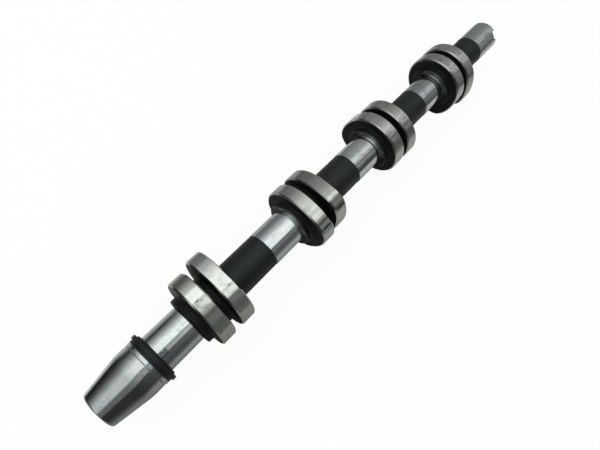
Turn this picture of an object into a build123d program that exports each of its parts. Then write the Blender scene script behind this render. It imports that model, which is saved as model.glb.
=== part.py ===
from build123d import *
from math import cos, isclose, pi, radians, sin, tan
import os

# Camshaft of a four-cylinder engine: one iron casting with ground journals, cam lobes, seal
# land and nose taper. The shaft axis is X, from the nose (-X) to the tail (+X). The origin is
# on the axis, where the front journal meets the thrust collar. Millimetres and degrees.

# Layout along the shaft
CYLINDERS = 4
CYLINDER_PITCH = 90.0         # from one journal to the next, and from one cylinder to the next
JOURNAL_LENGTH = 24.0         # bearing journals ahead of each cylinder
TAIL_JOURNAL_LENGTH = 30.5    # last journal, up to the tail's end face
HUB_LENGTH = 6.0              # cast hub between a journal and its first lobe, relief included
LOBE_WIDTH = 10.8
LOBE_GAP = 5.7                # between the two lobes of a cylinder

# Shaft
JOURNAL_DIAMETER = 26.0
CAST_STEP = 0.2               # cast shaft below the journals, on the radius
HUB_HEIGHT = 4.2              # hub beside and between the lobes, above the journals, on the radius
HUB_ROUND = 1.8               # rounded rim where a hub faces its journal
CAST_FILLET = 2.0             # hub into the side of a lobe
SHAFT_FILLET = 3.0            # cast shaft into the side of a lobe
BLEND_ROOM = 0.9              # most of a hub's length that the blends at its two ends may take
RELIEF_WIDTH = 1.2            # grinding relief beside a shoulder
RELIEF_DEPTH = 0.5

# Cam lobes
BASE_DIAMETER = 49.0
LIFT = 5.0                    # rise of a flat follower at the tip of the nose
FLANK_ANGLE = 64.0            # cam angle from the tip of the nose to the end of the lift
LOBE_CHAMFER = 0.9
FIRING_ORDER = (1, 3, 4, 2)
FIRST_NOSE_ANGLE = -30.0      # first lobe of cylinder 1, turned about +X from straight up
LOBE_LAG = 24.0               # second lobe of a cylinder, turned back from the first
FLANK_POINTS = 13             # points of the spline over the nose

# Thrust collar and nose
SHOULDER_HEIGHT = 2.2         # shoulder above the front journal, on the radius
SHOULDER_LENGTH = 1.0         # between the collar's rear face and the front journal
SHOULDER_FILLET = 1.6         # shoulder into the front journal
COLLAR_HEIGHT = 1.2           # collar above the larger of its two neighbours, on the radius
COLLAR_WIDTH = 2.7
COLLAR_ROUND = 0.5
RING_HEIGHT = 0.3             # ring behind the seal land, above the land, on the radius
RING_WIDTH = 4.5
RING_GROOVE_WIDTH = 0.5       # fine groove between the ring and the seal land
RING_GROOVE_DEPTH = 0.5
SEAL_LAND_DIAMETER = 32.0
SEAL_LAND_WIDTH = 8.2
TAPER_STEP = 0.4              # large end of the taper below the seal land, on the radius
TAPER_SMALL_DIAMETER = 23.8
TAPER_LENGTH = 24.4
NOSE_ROUND = 1.8              # rounded rim at the tip of the nose

# Tapped hole in the nose, for the sprocket's centre bolt (M12 x 1.5)
BOLT_CORE_DIAMETER = 10.4
BOLT_DEPTH = 34.0
SINK_WIDTH = 1.6              # countersink at the mouth, outside the core, on the radius
SINK_ANGLE = 90.0
DRILL_POINT_ANGLE = 118.0

# Drive slot and centre hole in the tail
SLOT_WIDTH = 9.0
SLOT_DEPTH = 5.0
SLOT_ANGLE = 47.0             # the slot's length, turned about +X from straight up
SLOT_FLOOR_ROUND = 0.6
TAIL_CHAMFER = 1.5
CENTRE_HOLE_DIAMETER = 5.0
CENTRE_HOLE_ANGLE = 60.0

# Worked out from the sizes above
JOURNAL_RADIUS = JOURNAL_DIAMETER / 2
CAST_RADIUS = JOURNAL_RADIUS - CAST_STEP
HUB_RADIUS = JOURNAL_RADIUS + HUB_HEIGHT
SHOULDER_RADIUS = JOURNAL_RADIUS + SHOULDER_HEIGHT
LAND_RADIUS = SEAL_LAND_DIAMETER / 2
RING_RADIUS = LAND_RADIUS + RING_HEIGHT
COLLAR_RADIUS = max(SHOULDER_RADIUS, RING_RADIUS) + COLLAR_HEIGHT
COLLAR_REAR = -SHOULDER_LENGTH
COLLAR_FRONT = COLLAR_REAR - COLLAR_WIDTH
RING_FRONT = COLLAR_FRONT - RING_WIDTH
LAND_FRONT = RING_FRONT - SEAL_LAND_WIDTH
NOSE_END = LAND_FRONT - TAPER_LENGTH
FIRST_LOBE_START = JOURNAL_LENGTH + HUB_LENGTH
SECOND_LOBE_START = FIRST_LOBE_START + LOBE_WIDTH + LOBE_GAP
LOBES_END = SECOND_LOBE_START + LOBE_WIDTH
HUB_BLENDS = HUB_ROUND + CAST_FILLET
BLEND_LIMIT = BLEND_ROOM * min((HUB_LENGTH - RELIEF_WIDTH) / HUB_BLENDS, LOBE_GAP / (2 * CAST_FILLET))
HUB_ROUND_RADIUS = HUB_ROUND * min(1, BLEND_LIMIT)
CAST_FILLET_RADIUS = CAST_FILLET * min(1, BLEND_LIMIT)
TAIL_START = CYLINDERS * CYLINDER_PITCH
TAIL_END = TAIL_START + TAIL_JOURNAL_LENGTH


def nose_outline():
    """Corners of the turned outline from the tip of the nose to the front journal.

    Each corner is (place along the axis, radius, blend radius).
    """
    groove_rear = RING_FRONT + RING_GROOVE_WIDTH
    groove_radius = LAND_RADIUS - RING_GROOVE_DEPTH
    return [
        (NOSE_END, TAPER_SMALL_DIAMETER / 2, NOSE_ROUND),
        (LAND_FRONT, LAND_RADIUS - TAPER_STEP, 0),
        (LAND_FRONT, LAND_RADIUS, 0),
        (RING_FRONT, LAND_RADIUS, 0),
        (RING_FRONT, groove_radius, 0),
        (groove_rear, groove_radius, 0),
        (groove_rear, RING_RADIUS, 0),
        (COLLAR_FRONT, RING_RADIUS, 0),
        (COLLAR_FRONT, COLLAR_RADIUS, COLLAR_ROUND),
        (COLLAR_REAR, COLLAR_RADIUS, COLLAR_ROUND),
        (COLLAR_REAR, SHOULDER_RADIUS, 0),
        (0, SHOULDER_RADIUS, 0),
        (0, JOURNAL_RADIUS, SHOULDER_FILLET),
    ]


def cylinder_outline(start):
    """Corners of the turned outline from one journal to the start of the next."""
    relief_start = start + JOURNAL_LENGTH
    relief_end = relief_start + RELIEF_WIDTH
    relief_radius = JOURNAL_RADIUS - RELIEF_DEPTH
    lobes_end = start + LOBES_END
    next_journal = start + CYLINDER_PITCH
    return [
        (relief_start, JOURNAL_RADIUS, 0),
        (relief_start, relief_radius, 0),
        (relief_end, relief_radius, 0),
        (relief_end, HUB_RADIUS, HUB_ROUND_RADIUS),
        (lobes_end, HUB_RADIUS, 0),
        (lobes_end, CAST_RADIUS, 0),
        (next_journal, CAST_RADIUS, 0),
        (next_journal, JOURNAL_RADIUS, 0),
    ]


def turned_body():
    """The whole shaft without its lobes, turned about X in one revolve."""
    corners = nose_outline()
    for cylinder in range(CYLINDERS):
        corners += cylinder_outline(cylinder * CYLINDER_PITCH)
    corners += [
        (TAIL_END - TAIL_CHAMFER, JOURNAL_RADIUS, 0),
        (TAIL_END, JOURNAL_RADIUS - TAIL_CHAMFER, 0),
    ]
    points = [(NOSE_END, 0)] + [(x, radius) for x, radius, _ in corners] + [(TAIL_END, 0)]
    blends = [0] + [blend for _, _, blend in corners] + [0]
    outline = FilletPolyline(*points, radius=blends, close=True)
    return revolve(make_face(outline), Axis.X, 360)


def follower_radius(angle):
    """Distance from the axis to a flat follower at an angle from the nose, and its slope."""
    turn = pi / radians(FLANK_ANGLE)
    rise = LIFT * (1 + cos(turn * angle)) / 2
    slope = -LIFT * turn * sin(turn * angle) / 2
    return BASE_DIAMETER / 2 + rise, slope


def profile_point(angle):
    """The point where the flat follower touches the lobe, with the nose along +X."""
    radius, slope = follower_radius(angle)
    return (
        radius * cos(angle) - slope * sin(angle),
        radius * sin(angle) + slope * cos(angle),
    )


def lobe_profile():
    """The closed outline of a lobe: base circle, flanks and nose."""
    flank = radians(FLANK_ANGLE)
    angles = [flank * (2 * i / (FLANK_POINTS - 1) - 1) for i in range(FLANK_POINTS)]
    ends = [(-sin(a), cos(a)) for a in (angles[0], angles[-1])]
    nose = Spline(*[profile_point(a) for a in angles], tangents=ends)
    base = CenterArc((0, 0), BASE_DIAMETER / 2, FLANK_ANGLE, 360 - 2 * FLANK_ANGLE)
    return make_face(nose + base)


def lobe(start, nose_angle):
    """A chamfered lobe whose front face is at start, its nose turned about +X from up."""
    solid = extrude(lobe_profile(), LOBE_WIDTH)
    rims = solid.edges().group_by(Axis.Z)
    solid = chamfer(rims[0] + rims[-1], LOBE_CHAMFER)
    return Plane.YZ.offset(start) * Rot(0, 0, 90 + nose_angle) * solid


def lobes():
    """All lobes: two a cylinder, each cylinder turned on by its place in the firing order."""
    firing_step = 360 / CYLINDERS
    made = []
    for place, cylinder in enumerate(FIRING_ORDER):
        start = (cylinder - 1) * CYLINDER_PITCH
        nose_angle = FIRST_NOSE_ANGLE - place * firing_step
        made.append(lobe(start + FIRST_LOBE_START, nose_angle))
        made.append(lobe(start + SECOND_LOBE_START, nose_angle - LOBE_LAG))
    return made


def blend_lobes(body):
    """Cast fillets where the hubs and the cast shaft run into the sides of the lobes."""
    def corner_edges(radius, places):
        circles = body.edges().filter_by(GeomType.CIRCLE)
        return [
            edge for edge in circles
            if isclose(edge.radius, radius, abs_tol=1e-3)
            and any(isclose(edge.center().X, x, abs_tol=1e-3) for x in places)
        ]

    starts = [cylinder * CYLINDER_PITCH for cylinder in range(CYLINDERS)]
    hub_faces = (FIRST_LOBE_START, FIRST_LOBE_START + LOBE_WIDTH, SECOND_LOBE_START)
    hub_places = [start + face for start in starts for face in hub_faces]
    shaft_places = [start + LOBES_END for start in starts]
    body = body.fillet(CAST_FILLET_RADIUS, corner_edges(HUB_RADIUS, hub_places))
    return body.fillet(SHAFT_FILLET, corner_edges(CAST_RADIUS, shaft_places))


def cone_length(radius, full_angle):
    """Length of a cone along its axis, from its radius and its full angle."""
    return radius / tan(radians(full_angle / 2))


def bolt_hole():
    """Cutter of the nose's blind tapped hole, with its drill point and countersink."""
    core = BOLT_CORE_DIAMETER / 2
    mouth = core + SINK_WIDTH
    sink_depth = cone_length(SINK_WIDTH, SINK_ANGLE)
    point_depth = cone_length(core, DRILL_POINT_ANGLE)
    outline = Polyline(
        (NOSE_END, 0),
        (NOSE_END, mouth),
        (NOSE_END + sink_depth, core),
        (NOSE_END + BOLT_DEPTH, core),
        (NOSE_END + BOLT_DEPTH + point_depth, 0),
        close=True,
    )
    return revolve(make_face(outline), Axis.X, 360)


def tail_slot():
    """Cutter of the drive slot across the tail, with rounded floor corners."""
    slot = Box(2 * SLOT_DEPTH, SLOT_WIDTH, 2 * JOURNAL_DIAMETER)
    floor_edges = slot.edges().filter_by(Axis.Z).group_by(Axis.X)[0]
    slot = fillet(floor_edges, SLOT_FLOOR_ROUND)
    return Pos(TAIL_END, 0, 0) * Rot(SLOT_ANGLE, 0, 0) * slot


def centre_hole():
    """Cutter of the lathe centre hole in the floor of the drive slot."""
    radius = CENTRE_HOLE_DIAMETER / 2
    depth = cone_length(radius, CENTRE_HOLE_ANGLE)
    floor = TAIL_END - SLOT_DEPTH
    outline = Polyline((floor, 0), (floor, radius), (floor - depth, 0), close=True)
    return revolve(make_face(outline), Axis.X, 360)


def camshaft():
    """The finished casting."""
    body = turned_body().fuse(*lobes())
    body = blend_lobes(body)
    return body - bolt_hole() - tail_slot() - centre_hole()


os.makedirs("parts", exist_ok=True)
export_step(camshaft(), "parts/camshaft.step")
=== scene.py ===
"""Looks of a one-piece camshaft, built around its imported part.

The shaft axis is X, from the nose (-X) to the tail (+X), and the origin lies where the front
journal meets the thrust collar. An angle round the shaft is turned about +X from straight up.
Sizes are in millimetres and degrees, and meshes are in metres. A pair is a soft edge: first
where its mask is 0, then where it is 1.
"""

import logging
import math
from collections.abc import Mapping
from dataclasses import dataclass, field
from enum import Enum, IntEnum
from functools import cached_property
from typing import Union

import bpy
from mathutils import Matrix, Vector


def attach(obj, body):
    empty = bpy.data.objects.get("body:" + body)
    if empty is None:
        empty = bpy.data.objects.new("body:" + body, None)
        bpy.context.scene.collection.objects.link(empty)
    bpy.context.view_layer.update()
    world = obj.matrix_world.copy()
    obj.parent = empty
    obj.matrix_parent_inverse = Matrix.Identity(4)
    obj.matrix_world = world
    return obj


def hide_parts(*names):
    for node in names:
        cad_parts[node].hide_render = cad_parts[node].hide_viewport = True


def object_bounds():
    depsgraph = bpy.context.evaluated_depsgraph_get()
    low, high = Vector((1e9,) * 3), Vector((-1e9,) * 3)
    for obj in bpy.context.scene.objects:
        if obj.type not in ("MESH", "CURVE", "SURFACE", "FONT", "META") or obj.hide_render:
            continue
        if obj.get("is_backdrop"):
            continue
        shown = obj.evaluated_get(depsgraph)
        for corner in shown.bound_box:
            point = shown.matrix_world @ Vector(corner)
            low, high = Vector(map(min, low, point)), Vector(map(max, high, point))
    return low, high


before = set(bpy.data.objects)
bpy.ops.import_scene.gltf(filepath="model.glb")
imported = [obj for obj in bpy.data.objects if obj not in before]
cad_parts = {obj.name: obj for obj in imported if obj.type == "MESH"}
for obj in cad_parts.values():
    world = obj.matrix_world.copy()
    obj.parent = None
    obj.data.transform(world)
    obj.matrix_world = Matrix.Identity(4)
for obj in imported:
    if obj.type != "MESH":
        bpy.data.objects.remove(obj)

LOG = logging.getLogger("camshaft")
MM = 0.001
BODY = "root"
NODE = "camshaft"
NOISE_MIDDLE = 0.5
WHITE = (1.0, 1.0, 1.0, 1.0)

Number = Union["Signal", float]
SocketValue = Union["Signal", float, int, bool, str, tuple]
Settings = Mapping[str, object]
Inputs = Mapping[Union[int, str], SocketValue]
Colour = tuple[float, float, float, float]
Pair = tuple[float, float]


class Finish(IntEnum):
    """How a stretch of the casting's skin is finished."""

    MACHINED = 0
    FACED = 1
    GROUND = 2
    CAST = 3
    PIT = 4


class Ray(Enum):
    """What a ray is for, by the name of the Light Path node's output."""

    CAMERA = "Is Camera Ray"
    GLOSSY = "Is Glossy Ray"


class Signal:
    """A number that leaves a node. Arithmetic on it adds Math nodes to its tree."""

    def __init__(self, bench: "Bench", socket: bpy.types.NodeSocket) -> None:
        """Wraps the output socket that carries the number, on the bench for new nodes."""
        self.bench = bench
        self.socket = socket

    def math(self, operation: str, *others: Number) -> "Signal":
        """Puts this number through one Math node, with others as its further inputs."""
        return self.bench.math(operation, self, *others)

    def __add__(self, other: Number) -> "Signal":
        """Sum."""
        return self.math("ADD", other)

    def __sub__(self, other: Number) -> "Signal":
        """Difference."""
        return self.math("SUBTRACT", other)

    def __rsub__(self, other: Number) -> "Signal":
        """Difference, with the number first."""
        return self.bench.math("SUBTRACT", other, self)

    def __mul__(self, other: Number) -> "Signal":
        """Product."""
        return self.math("MULTIPLY", other)

    def __truediv__(self, other: Number) -> "Signal":
        """Quotient."""
        return self.math("DIVIDE", other)

    def __rtruediv__(self, other: Number) -> "Signal":
        """Quotient, with the number first."""
        return self.bench.math("DIVIDE", other, self)

    def __lt__(self, other: Number) -> "Signal":
        """1 where this is less, otherwise 0."""
        return self.math("LESS_THAN", other)

    def __gt__(self, other: Number) -> "Signal":
        """1 where this is greater, otherwise 0."""
        return self.math("GREATER_THAN", other)

    def __abs__(self) -> "Signal":
        """Size without the sign."""
        return self.math("ABSOLUTE")

    # a sum or product is the same with the number first
    __radd__ = __add__
    __rmul__ = __mul__

    def step(self, low: Number, high: Number, kind: str = "SMOOTHSTEP") -> "Signal":
        """Rises from 0 at low to 1 at high, or falls where low is the larger."""
        inputs = {0: self, 1: low, 2: high, 3: 0.0, 4: 1.0}
        return self.bench.signal("ShaderNodeMapRange", {"interpolation_type": kind}, inputs)

    def window(self, start: Pair, end: Pair) -> "Signal":
        """Is 1 between two soft edges and 0 outside them."""
        return self.step(*start) * self.step(*end)


class Bench:
    """A node tree on which nodes are set out and joined up."""

    def __init__(self, tree: bpy.types.NodeTree) -> None:
        """Takes a shader, world or geometry tree over and empties it."""
        self.tree = tree
        tree.nodes.clear()

    def node(
        self,
        kind: str,
        settings: Settings | None = None,
        inputs: Inputs | None = None,
    ) -> bpy.types.Node:
        """Adds one node.

        Args:
            kind: The node's type.
            settings: Its settings, which are set first. "stops" are a colour ramp's stops.
            inputs: The values or links of its input sockets, by name or number.

        Returns:
            The new node.
        """
        made = self.tree.nodes.new(kind)
        for name, value in (settings or {}).items():
            if name == "stops":
                self._set_stops(made, value)
            else:
                setattr(made, name, value)
        for key, value in (inputs or {}).items():
            socket = made.inputs[key]
            if isinstance(value, Signal):
                self.tree.links.new(value.socket, socket)
            else:
                socket.default_value = value
        return made

    @staticmethod
    def _set_stops(ramp: bpy.types.Node, stops: list[tuple[float, tuple]]) -> None:
        """Gives a colour ramp its stops.

        Args:
            ramp: The ramp's node.
            stops: Pairs of a place and a (red, green, blue).
        """
        elements = ramp.color_ramp.elements
        while len(elements) < len(stops):
            elements.new(1.0)
        for element, (place, colour) in zip(elements, stops):
            element.position = place
            element.color = (*colour, 1.0)

    def signal(
        self,
        kind: str,
        settings: Settings | None = None,
        inputs: Inputs | None = None,
        output: Union[int, str] = 0,
    ) -> Signal:
        """Adds a node and takes one of its outputs, by name or number."""
        return Signal(self, self.node(kind, settings, inputs).outputs[output])

    def math(self, operation: str, *values: Number) -> Signal:
        """Adds a Math node with these inputs."""
        return self.signal("ShaderNodeMath", {"operation": operation}, dict(enumerate(values)))

    def vector(self, x: Number, y: Number, z: Number) -> Signal:
        """Joins three numbers into a vector."""
        return self.signal("ShaderNodeCombineXYZ", None, {0: x, 1: y, 2: z})

    def parts(self, vector: Signal) -> tuple[Signal, Signal, Signal]:
        """Splits a vector into its three parts."""
        split = self.node("ShaderNodeSeparateXYZ", None, {0: vector})
        return tuple(Signal(self, socket) for socket in split.outputs)

    def noise(self, at: Signal, scale: float, detail: float = 2.0) -> Signal:
        """Adds a noise with so many waves to a unit of its vector, and finer layers."""
        inputs = {"Vector": at, "Scale": scale, "Detail": detail}
        return self.signal("ShaderNodeTexNoise", None, inputs)

    def mix(self, share: Number, first: SocketValue, second: SocketValue) -> Signal:
        """Mixes two colours, with a share of the second."""
        inputs = {0: share, 6: first, 7: second}
        return self.signal("ShaderNodeMix", {"data_type": "RGBA"}, inputs, output=2)

    def mix_shaders(self, share: Number, first: Signal, second: Signal) -> Signal:
        """Mixes two shaders, with a share of the second."""
        return self.signal("ShaderNodeMixShader", None, {0: share, 1: first, 2: second})

    def ray(self, sort: Ray) -> Signal:
        """Is 1 on rays of one sort."""
        return self.signal("ShaderNodeLightPath", output=sort.value)

    @staticmethod
    def turned(y: Signal, z: Signal) -> Signal:
        """Angle round the shaft of a point or direction, in degrees."""
        return (y * -1).math("ARCTAN2", z) * math.degrees(1)


class MaterialBench(Bench):
    """The tree of a new material, which knows where its surface is.

    Attributes:
        material: The material.
        x: Place along the shaft.
        y: Place across it.
        z: Height above its axis.
    """

    def __init__(self, name: str) -> None:
        """Makes the material.

        Args:
            name: Its name.
        """
        self.material = bpy.data.materials.new(name)
        self.material.use_nodes = True
        super().__init__(self.material.node_tree)
        point = self.signal("ShaderNodeTexCoord", output="Object")
        self.x, self.y, self.z = (part / MM for part in self.parts(point))

    @cached_property
    def reach(self) -> Signal:
        """Distance from the shaft axis."""
        return (self.y * self.y + self.z * self.z).math("SQRT")

    @cached_property
    def angle(self) -> Signal:
        """Angle round the shaft."""
        return self.turned(self.y, self.z)

    def surface(
        self,
        colour: Signal,
        roughness: Signal,
        relief: Signal,
        depth: float,
        metallic: float = 1.0,
        gloss: float = 0.5,
    ) -> bpy.types.Material:
        """Adds the shader, its relief and the output.

        Args:
            colour: The surface's colour.
            roughness: Its roughness.
            relief: Its relief, from 0 to 1.
            depth: How deep the relief is.
            metallic: 1 for bare iron, 0 for a coat.
            gloss: Strength of a coat's shine.

        Returns:
            The finished material.
        """
        bump = {"Height": relief, "Distance": depth * MM, "Strength": 1.0}
        inputs = {
            "Base Color": colour,
            "Roughness": roughness,
            "Metallic": metallic,
            "Specular IOR Level": gloss,
            "Normal": self.signal("ShaderNodeBump", None, bump),
        }
        return self.output(self.signal("ShaderNodeBsdfPrincipled", None, inputs))

    def output(self, shader: Signal) -> bpy.types.Material:
        """Ends the tree with a shader and hands the material over."""
        self.node("ShaderNodeOutputMaterial", None, {"Surface": shader})
        return self.material


@dataclass(frozen=True)
class Pattern:
    """A noise over the skin.

    Attributes:
        waves: How many waves it has to a millimetre.
        layers: How many finer layers it has.
        along: How much faster it changes along the shaft.
        across: How much faster it changes across it.
    """

    waves: float
    layers: float
    along: float = 1.0
    across: float = 1.0

    def on(self, bench: MaterialBench) -> Signal:
        """Reads the noise where a material's surface is."""
        at = bench.vector(bench.x * self.along, bench.y * self.across, bench.z * self.across)
        return bench.noise(at, self.waves, self.layers)


@dataclass(frozen=True)
class Patch:
    """A patch of the skin: its soft edges along the shaft, then those round it."""

    front: Pair
    rear: Pair
    start: Pair
    end: Pair

    def mask(self, bench: MaterialBench) -> Signal:
        """Is 1 on the patch."""
        round_shaft = bench.angle.window(self.start, self.end)
        return bench.x.window(self.front, self.rear) * round_shaft


@dataclass(frozen=True)
class DarkMark:
    """A dark mark on a ground surface. A short one is a nick, left by the cam follower or by
    handling; one that runs across a whole lobe is a painted dark reflection.

    Attributes:
        place: Place along the shaft.
        angle: Angle round the shaft.
        length: Half its length along the shaft.
        width: Half its width round the shaft.
        edge: Its soft edge, in squares of its half sizes.
    """

    place: float
    angle: float
    length: float
    width: float
    edge: Pair = (1.3, 0.5)

    def mask(self, bench: MaterialBench) -> Signal:
        """Marks the nick out.

        Args:
            bench: The material's bench.

        Returns:
            1 on the nick and 0 off it.
        """
        along = (bench.x - self.place) / self.length
        across = (bench.angle - self.angle) * bench.reach / (self.width * math.degrees(1))
        return (along * along + across * across).step(*self.edge)


@dataclass(frozen=True)
class ToneBand:
    """A stretch round a lobe or journal whose iron is painted lighter or darker.

    A band stands for polish, or for a line that the iron mirrors from the room. The two can't
    be told apart from one side, and a mirrored line that is painted stays where it is when the
    light or the view changes.

    Attributes:
        place: Place of the band's middle along the shaft.
        start: Angle round the shaft where the band starts.
        end: Angle where it ends.
        fade: How many degrees the change takes.
        strength: How much of its tone shows, from 0 to 1.
        tone: How bright its iron is.
        reach: Half its length along the shaft.
        edge: Half the width of its soft edge along the shaft.
        warmth: Blue of its iron, as a share of its red.
    """

    place: float
    start: float
    end: float
    fade: float
    strength: float
    tone: float = 0.25
    reach: float = 6.75
    edge: float = 0.25
    warmth: float = 0.93

    def over(self, bench: MaterialBench, colour: SocketValue) -> Signal:
        """Lays the band over a colour.

        Args:
            bench: The material's bench.
            colour: The colour so far.

        Returns:
            The colour with the band.
        """
        off_middle = abs(bench.x - self.place)
        there = off_middle.step(self.reach + self.edge, self.reach - self.edge) * self.strength
        there = there * bench.angle.step(self.start - self.fade, self.start)
        there = there * bench.angle.step(self.end + self.fade, self.end)
        return bench.mix(there, colour, (self.tone, self.tone, self.tone * self.warmth, 1.0))


@dataclass(frozen=True)
class GroundIron:
    """Bright ground iron: journals, lobes, seal land and taper."""

    name: str = "ground_iron"
    # colours; lobes are told from journals by their reach, and some journals are brighter
    journal: Colour = (0.565, 0.600, 0.600, 1.0)
    lobe: Colour = (0.590, 0.598, 0.572, 1.0)
    dull: Colour = (0.30, 0.315, 0.300, 1.0)
    stain_and_dark_reflection: Colour = (0.05, 0.065, 0.065, 1.0)
    lobe_reach: Pair = (19.0, 20.0)
    brighter: float = 1.10
    brighter_front: Pair = (130.0, 180.0)
    brighter_rear: Pair = (340.0, 310.0)
    # painted shade on the lobes' far side, where they mirror the shadowed floor
    far_side: Pair = (52.0, 70.0)
    far_side_shade: Colour = (0.25, 0.25, 0.232, 1.0)
    far_side_shade_share: float = 0.38
    # grinding marks and streaks run round the shaft, so they vary along it and hardly round it
    scores: Pattern = Pattern(1.0, 3.0, 9.0, 0.3)
    score_depth: float = 0.0008
    streaks: Pattern = Pattern(1.0, 4.0, 2.2, 0.25)
    streaks_dull: Pair = (0.5, 0.8)
    streak_share: float = 0.25
    # rubbed patches, which show more from the brighter journals on
    rubbed: Pattern = Pattern(0.28, 4.0, 0.8)
    rubbed_levels: Pair = (0.48, 0.72)
    rubbed_share: float = 0.35
    rubbed_behind: float = 0.30
    # pits, and how dark they and the marks are
    specks: Pattern = Pattern(1.8, 2.0)
    pit_levels: Pair = (0.72, 0.80)
    pit_share: float = 0.55
    mark_share: float = 0.85
    # the blotched stain by the thrust collar, and a painted dark reflection line along the journal
    blots: Pattern = Pattern(0.8, 2.0, 0.55, 2.2)
    blot_levels: Pair = (0.38, 0.47)
    stained: Patch = Patch((0.0, 0.6), (6.6, 4.6), (11.5, 14.5), (33.0, 29.0))
    dark_reflection_line: Patch = Patch((0.3, 5.6), (24.5, 23.0), (13.5, 15.5), (18.5, 16.5))
    dark_reflection_share: float = 0.5
    # roughness of clean iron, and what is added to it
    polish: float = 0.10
    rubbed_haze: float = 0.10
    streaks_hazy: Pair = (0.4, 0.8)
    streak_haze: float = 0.06
    lobe_haze: float = 0.04
    mark_haze: float = 0.15
    # the two marks across a whole lobe, at 125.4 and 141.9, are painted dark reflections
    dark_marks: tuple[DarkMark, ...] = (
        DarkMark(34.0, -0.8, 1.7, 0.45), DarkMark(36.2, 2.0, 1.0, 0.25), DarkMark(53.5, 13.0, 1.5, 0.30),
        DarkMark(125.4, 50.5, 4.6, 0.80), DarkMark(141.9, 42.0, 4.6, 1.50), DarkMark(214.0, 20.0, 2.0, 0.35),
        DarkMark(232.8, 17.0, 1.4, 0.25), DarkMark(302.5, 14.0, 1.2, 0.25),
    )
    tone_bands: tuple[ToneBand, ...] = (
        ToneBand(35.4, -180.0, -17.0, 5.0, 0.85), ToneBand(35.4, 13.0, 22.0, 3.0, 0.65),
        ToneBand(51.9, -46.0, -38.0, 4.0, 0.40), ToneBand(51.9, -180.0, -55.5, 1.5, 0.35),
        ToneBand(125.4, -180.0, 24.0, 5.0, 0.26), ToneBand(125.4, 36.0, 42.0, 2.5, 0.90),
        ToneBand(125.4, 53.0, 58.5, 1.5, 0.90, 0.98), ToneBand(141.9, -180.0, 19.0, 4.0, 0.60),
        ToneBand(141.9, 28.0, 31.0, 2.0, 0.90, 0.12), ToneBand(141.9, 46.0, 58.0, 3.0, 0.32),
        ToneBand(231.9, 45.0, 100.0, 12.0, 0.35), ToneBand(321.9, 60.0, 120.0, 12.0, 0.35),
        ToneBand(192.0, 22.5, 26.0, 1.5, 0.60, reach=13.0),
        ToneBand(192.0, 29.0, 32.5, 1.5, 0.60, 0.98, reach=13.0),
        ToneBand(192.0, 46.5, 50.0, 1.5, 0.85, 0.10, reach=13.0),
        ToneBand(192.0, 53.5, 57.0, 1.5, 0.50, 0.98, reach=13.0),
        ToneBand(282.0, 47.0, 56.0, 2.0, 0.35, reach=13.0),
    )

    def make(self) -> bpy.types.Material:
        """Builds the material.

        Returns:
            The material.
        """
        bench = MaterialBench(self.name)
        streaks = self.streaks.on(bench)
        rubbed = self.rubbed.on(bench).step(*self.rubbed_levels)
        pitted = self.specks.on(bench).step(*self.pit_levels)
        marked = self._stain_and_reflection_line(bench).math("MAXIMUM", self._dark_marks(bench))
        on_lobe = bench.reach.step(*self.lobe_reach)
        behind = bench.x.step(*self.brighter_front)
        brighter = tuple(value * self.brighter for value in self.journal[:3]) + (1.0,)
        colour = bench.mix(behind * bench.x.step(*self.brighter_rear), self.journal, brighter)
        colour = bench.mix(on_lobe, colour, self.lobe)
        dulled = rubbed * (self.rubbed_share + behind * self.rubbed_behind)
        dulled = dulled + streaks.step(*self.streaks_dull) * self.streak_share
        colour = bench.mix(dulled, colour, self.dull)
        for band in self.tone_bands:
            colour = band.over(bench, colour)
        # painted shade on the lobes' far side
        far_side = bench.angle.step(*self.far_side) * on_lobe * self.far_side_shade_share
        colour = bench.mix(far_side, colour, self.far_side_shade)
        colour = bench.mix(pitted * self.pit_share, colour, self.stain_and_dark_reflection)
        # the stain, the nicks and the painted dark reflection lines take one dark colour
        colour = bench.mix(marked * self.mark_share, colour, self.stain_and_dark_reflection)
        hazy = streaks.step(*self.streaks_hazy) * self.streak_haze
        roughness = self.polish + rubbed * self.rubbed_haze + hazy + on_lobe * self.lobe_haze
        roughness = roughness + pitted * self.mark_haze + marked * self.mark_haze
        return bench.surface(colour, roughness, self.scores.on(bench), self.score_depth)

    def _stain_and_reflection_line(self, bench: MaterialBench) -> Signal:
        """The front journal's stain by the collar, and a painted dark reflection along it."""
        blotted = self.blots.on(bench).step(*self.blot_levels) * self.stained.mask(bench)
        return blotted.math("MAXIMUM", self.dark_reflection_line.mask(bench) * self.dark_reflection_share)

    def _dark_marks(self, bench: MaterialBench) -> Signal:
        """Where the dark marks are: nicks and painted dark reflections.

        Args:
            bench: The material's bench.

        Returns:
            The marks' strength, from 0 to 1.
        """
        total: Number = 0.0
        for nick in self.dark_marks:
            total = nick.mask(bench) + total
        return total.math("MINIMUM", 1.0)


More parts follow.
